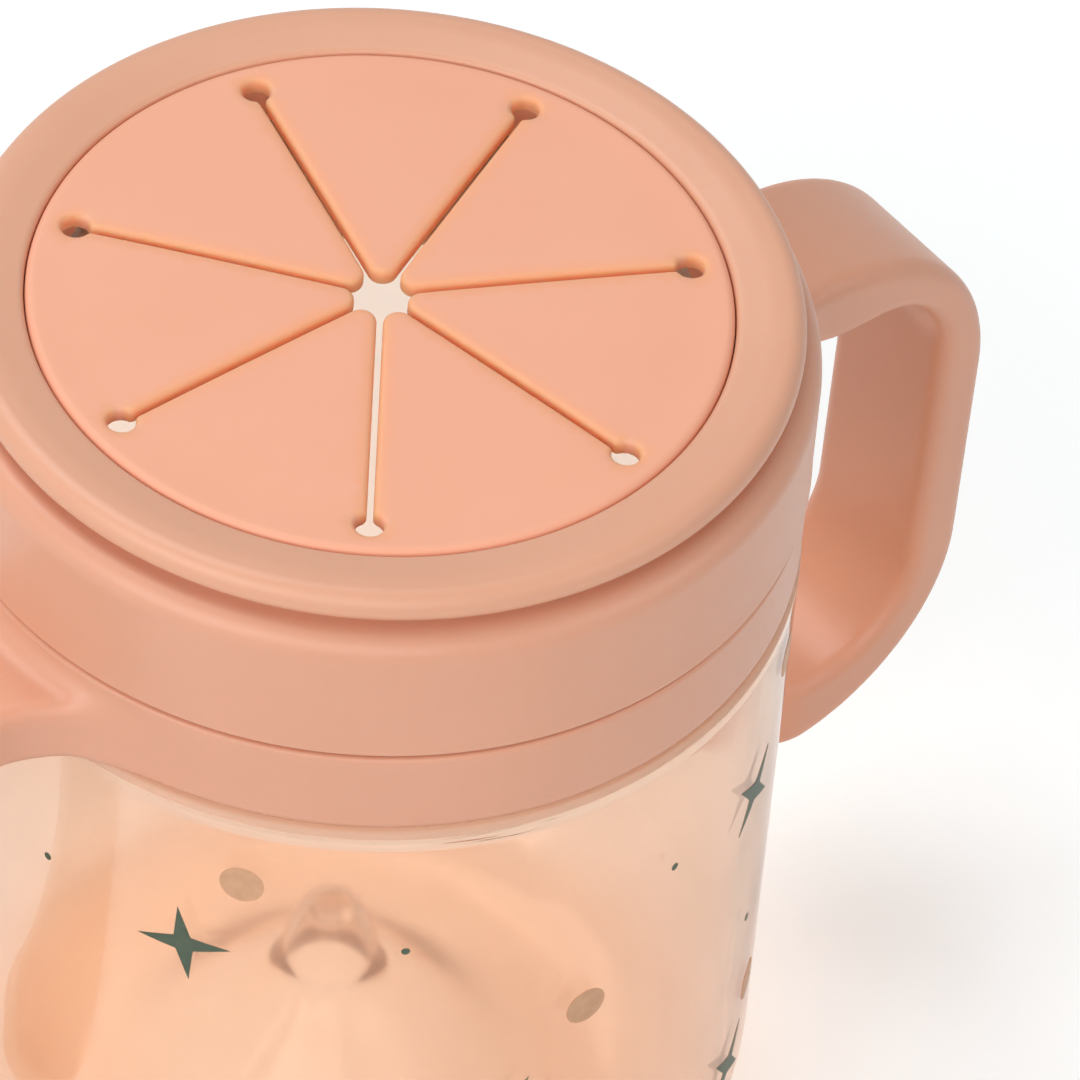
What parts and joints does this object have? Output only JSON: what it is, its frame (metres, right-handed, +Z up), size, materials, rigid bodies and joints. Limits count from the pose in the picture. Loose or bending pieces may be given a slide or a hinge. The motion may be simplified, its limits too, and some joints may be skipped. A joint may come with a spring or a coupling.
{
  "type": "toddler snack container",
  "caption": "Clear peach-tinted toddler snack cup with a two-handled collar, a screw lid and a soft slit insert for small hands.",
  "frame": {"origin": "centre of the base, on the surface that the cup stands on", "axes": "+Z up along the cup's axis, +X along one handle and -X along the other"},
  "size_m": [0.1334, 0.0772, 0.1012],
  "materials": {
    "clear_cup": "clear tinted, polished",
    "satin_plastic": "satin moulded",
    "ring_plastic": "fine satin moulded",
    "silicone": "soft matte silicone"
  },
  "bodies": {
    "cup_body": {"cup": "clear_cup"},
    "collar_body": {"handle_collar": "satin_plastic"},
    "insert_body": {"insert_rim": "silicone"},
    "lid_body": {"screw_ring": "satin_plastic", "top_ring": "ring_plastic"},
    "flap_body_1": {"flap_1": "silicone"},
    "flap_body_2": {"flap_2": "silicone"},
    "flap_body_3": {"flap_3": "silicone"},
    "flap_body_4": {"flap_4": "silicone"},
    "flap_body_5": {"flap_5": "silicone"},
    "flap_body_6": {"flap_6": "silicone"},
    "flap_body_7": {"flap_7": "silicone"}
  },
  "joints": [
    {"name": "collar_turn", "type": "hinge", "parent": "cup_body", "child": "collar_body", "pos_m": [0, 0, 0.0795], "axis": [0, 0, 1], "continuous": true},
    {"name": "lid_lift", "type": "slide", "parent": "cup_body", "child": "insert_body", "axis": [0, 0, 1], "range_m": [0, 0.006]},
    {"name": "lid_turn", "type": "hinge", "parent": "insert_body", "child": "lid_body", "pos_m": [0, 0, 0.09], "axis": [0, 0, 1], "range_deg": [0, 540]},
    {"name": "flap_1_bend", "type": "hinge", "parent": "insert_body", "child": "flap_body_1", "pos_m": [-0.02193, -0.0101, 0.0998], "axis": [-0.4181, 0.9084, 0], "range_deg": [-45, 60], "stiffness_Nm_per_rad": 0.004},
    {"name": "flap_2_bend", "type": "hinge", "parent": "insert_body", "child": "flap_body_2", "pos_m": [-0.00578, -0.02344, 0.0998], "axis": [-0.9709, 0.2395, 0], "range_deg": [-45, 60], "stiffness_Nm_per_rad": 0.004},
    {"name": "flap_3_bend", "type": "hinge", "parent": "insert_body", "child": "flap_body_3", "pos_m": [0.01472, -0.01914, 0.0998], "axis": [-0.7926, -0.6098, 0], "range_deg": [-45, 60], "stiffness_Nm_per_rad": 0.004},
    {"name": "flap_4_bend", "type": "hinge", "parent": "insert_body", "child": "flap_body_4", "pos_m": [0.02414, -0.00042, 0.0998], "axis": [-0.0175, -0.9998, 0], "range_deg": [-45, 60], "stiffness_Nm_per_rad": 0.004},
    {"name": "flap_5_bend", "type": "hinge", "parent": "insert_body", "child": "flap_body_5", "pos_m": [0.01538, 0.01861, 0.0998], "axis": [0.7708, -0.637, 0], "range_deg": [-45, 60], "stiffness_Nm_per_rad": 0.004},
    {"name": "flap_6_bend", "type": "hinge", "parent": "insert_body", "child": "flap_body_6", "pos_m": [-0.00496, 0.02363, 0.0998], "axis": [0.9787, 0.2055, 0], "range_deg": [-45, 60], "stiffness_Nm_per_rad": 0.004},
    {"name": "flap_7_bend", "type": "hinge", "parent": "insert_body", "child": "flap_body_7", "pos_m": [-0.02157, 0.01085, 0.0998], "axis": [0.4495, 0.8933, 0], "range_deg": [-45, 60], "stiffness_Nm_per_rad": 0.004}
  ],
  "couplings": [
    {"joint": "lid_turn", "follows": "lid_lift", "rad_per_m": 1570}
  ]
}
